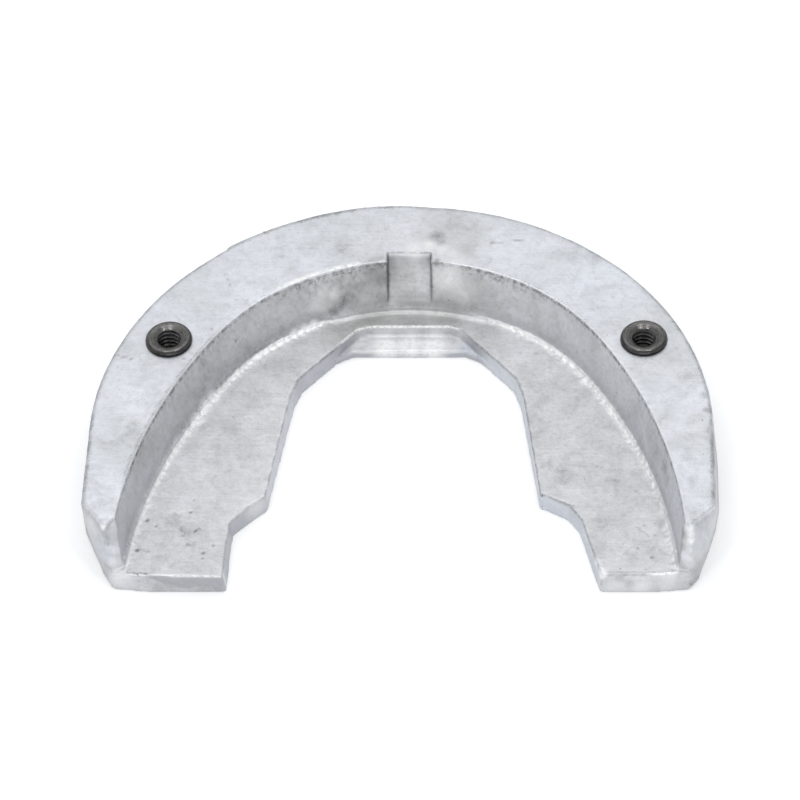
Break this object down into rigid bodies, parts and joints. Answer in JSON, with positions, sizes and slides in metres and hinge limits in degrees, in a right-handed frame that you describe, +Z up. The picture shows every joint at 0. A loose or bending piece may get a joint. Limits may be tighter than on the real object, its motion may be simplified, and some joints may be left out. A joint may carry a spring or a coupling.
{
  "type": "sacrificial anode",
  "caption": "Horseshoe-shaped cast alloy hull anode with a raised outer rim, a thin inner floor and threaded steel bushes on its mounting side.",
  "frame": {"origin": "middle of the underside's outline box, on the surface that the part lies on", "axes": "+X across the two legs, +Y towards the closed back of the bow (the legs open towards -Y), +Z up, out of the mounting side"},
  "size_m": [0.146, 0.1086, 0.0185],
  "materials": {
    "cast_alloy": "as cast, pale silver grey, mottled, with burnished edges",
    "bush_steel": "turned and blackened"
  },
  "bodies": {
    "root": {"anode_body": "cast_alloy", "bush_left": "bush_steel", "bush_right": "bush_steel"}
  },
  "joints": []
}
